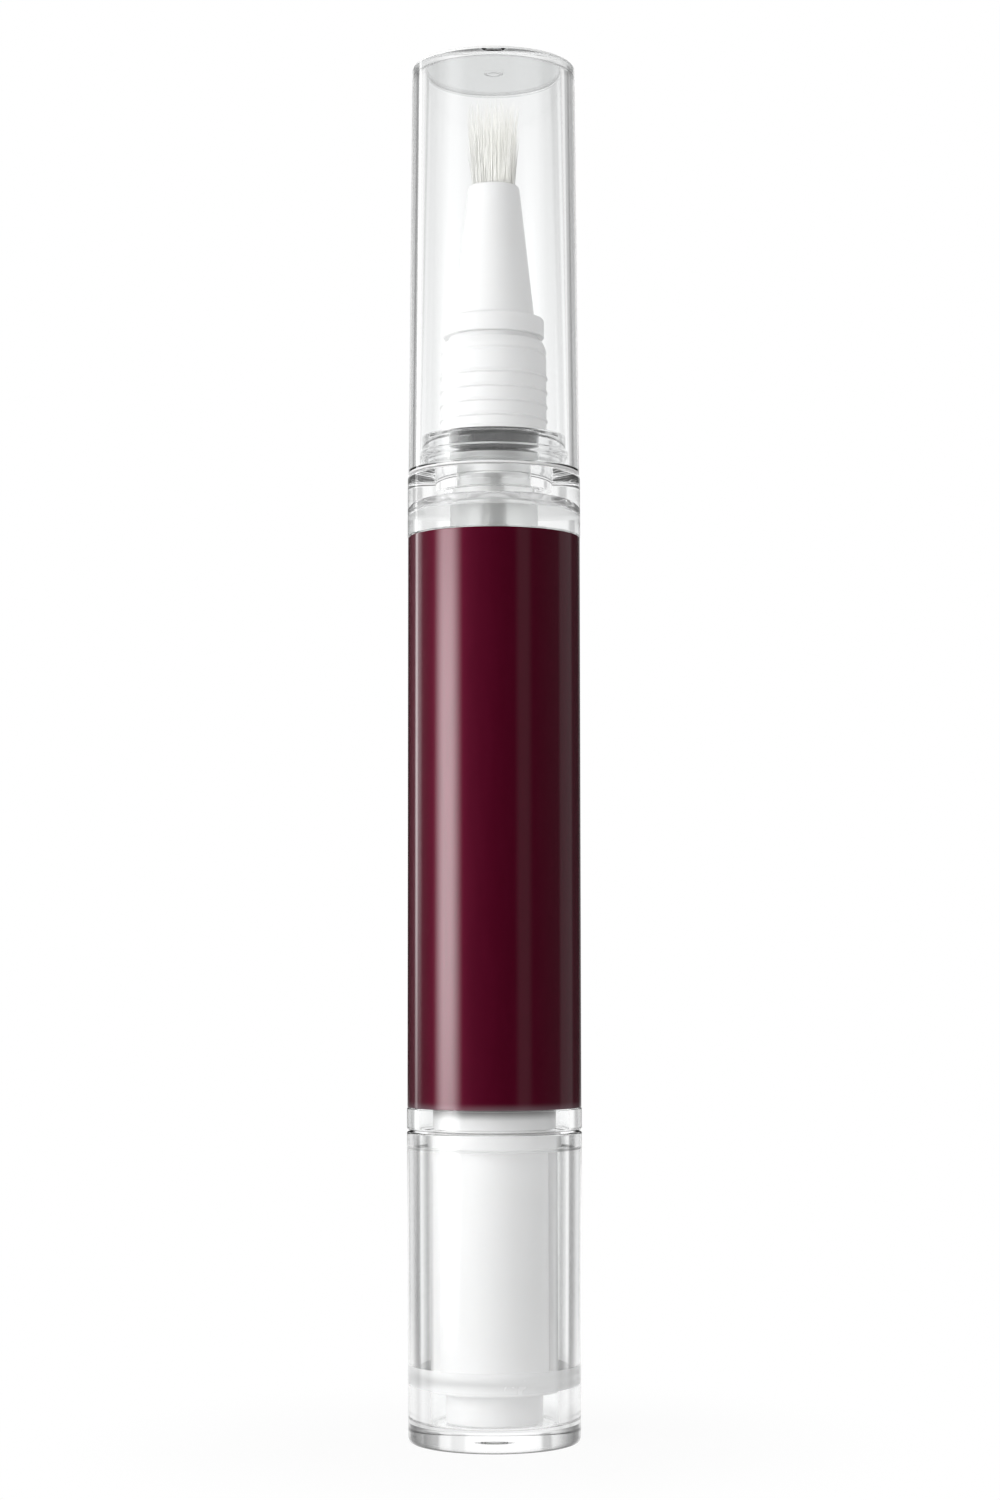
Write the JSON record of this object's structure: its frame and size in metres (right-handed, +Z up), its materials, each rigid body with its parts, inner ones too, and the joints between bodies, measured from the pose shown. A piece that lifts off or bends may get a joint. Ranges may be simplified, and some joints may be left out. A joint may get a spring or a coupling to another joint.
{
  "type": "cuticle oil pen",
  "caption": "Twist-up cuticle oil pen: clear pull-off cap, brush tip on a white cone, labelled clear barrel, and a clear knob that turns a screw and piston to feed the oil.",
  "frame": {"origin": "centre of the knob's foot, on the surface that the pen stands on", "axes": "+Z up along the pen's axis, from the knob to the cap"},
  "size_m": [0.017, 0.017, 0.135],
  "materials": {
    "clear_plastic": "clear and polished",
    "white_plastic": "white, half gloss",
    "natural_plastic": "milky, undyed",
    "acetal": "off-white, slightly waxy",
    "burgundy_film": "glossy film",
    "grey_rubber": "dark grey, dull",
    "steel": "drawn tube",
    "nylon": "ivory bristle"
  },
  "bodies": {
    "barrel": {"barrel": "clear_plastic", "label_sleeve": "burgundy_film", "ratchet_housing": "white_plastic", "thread_nut": "acetal", "neck_plug": "natural_plastic", "seal_ring": "grey_rubber", "feed_tube": "steel", "ribbed_collar": "white_plastic", "brush_cone": "white_plastic", "bristle_tuft": "nylon"},
    "knob": {"twist_knob": "clear_plastic", "drive_sleeve": "white_plastic", "pawl_ring": "acetal"},
    "piston": {"piston": "natural_plastic"},
    "screw_rod": {"screw_rod": "acetal"},
    "cap": {"cap": "clear_plastic"}
  },
  "joints": [
    {"name": "knob_twist", "type": "hinge", "parent": "barrel", "child": "knob", "pos_m": [0, 0, 0.02975], "axis": [0, 0, 1], "range_deg": [0, 2835]},
    {"name": "piston_travel", "type": "slide", "parent": "barrel", "child": "piston", "axis": [0, 0, 1], "range_m": [0, 0.0316]},
    {"name": "rod_spin", "type": "hinge", "parent": "piston", "child": "screw_rod", "pos_m": [0, 0, 0.04635], "axis": [0, 0, 1], "range_deg": [0, 2836]},
    {"name": "cap_pull", "type": "slide", "parent": "barrel", "child": "cap", "axis": [0, 0, 1], "range_m": [0, 0.045]}
  ],
  "couplings": [
    {"joint": "piston_travel", "follows": "knob_twist", "m_per_rad": 0.00063662},
    {"joint": "rod_spin", "follows": "knob_twist", "ratio": 1}
  ]
}
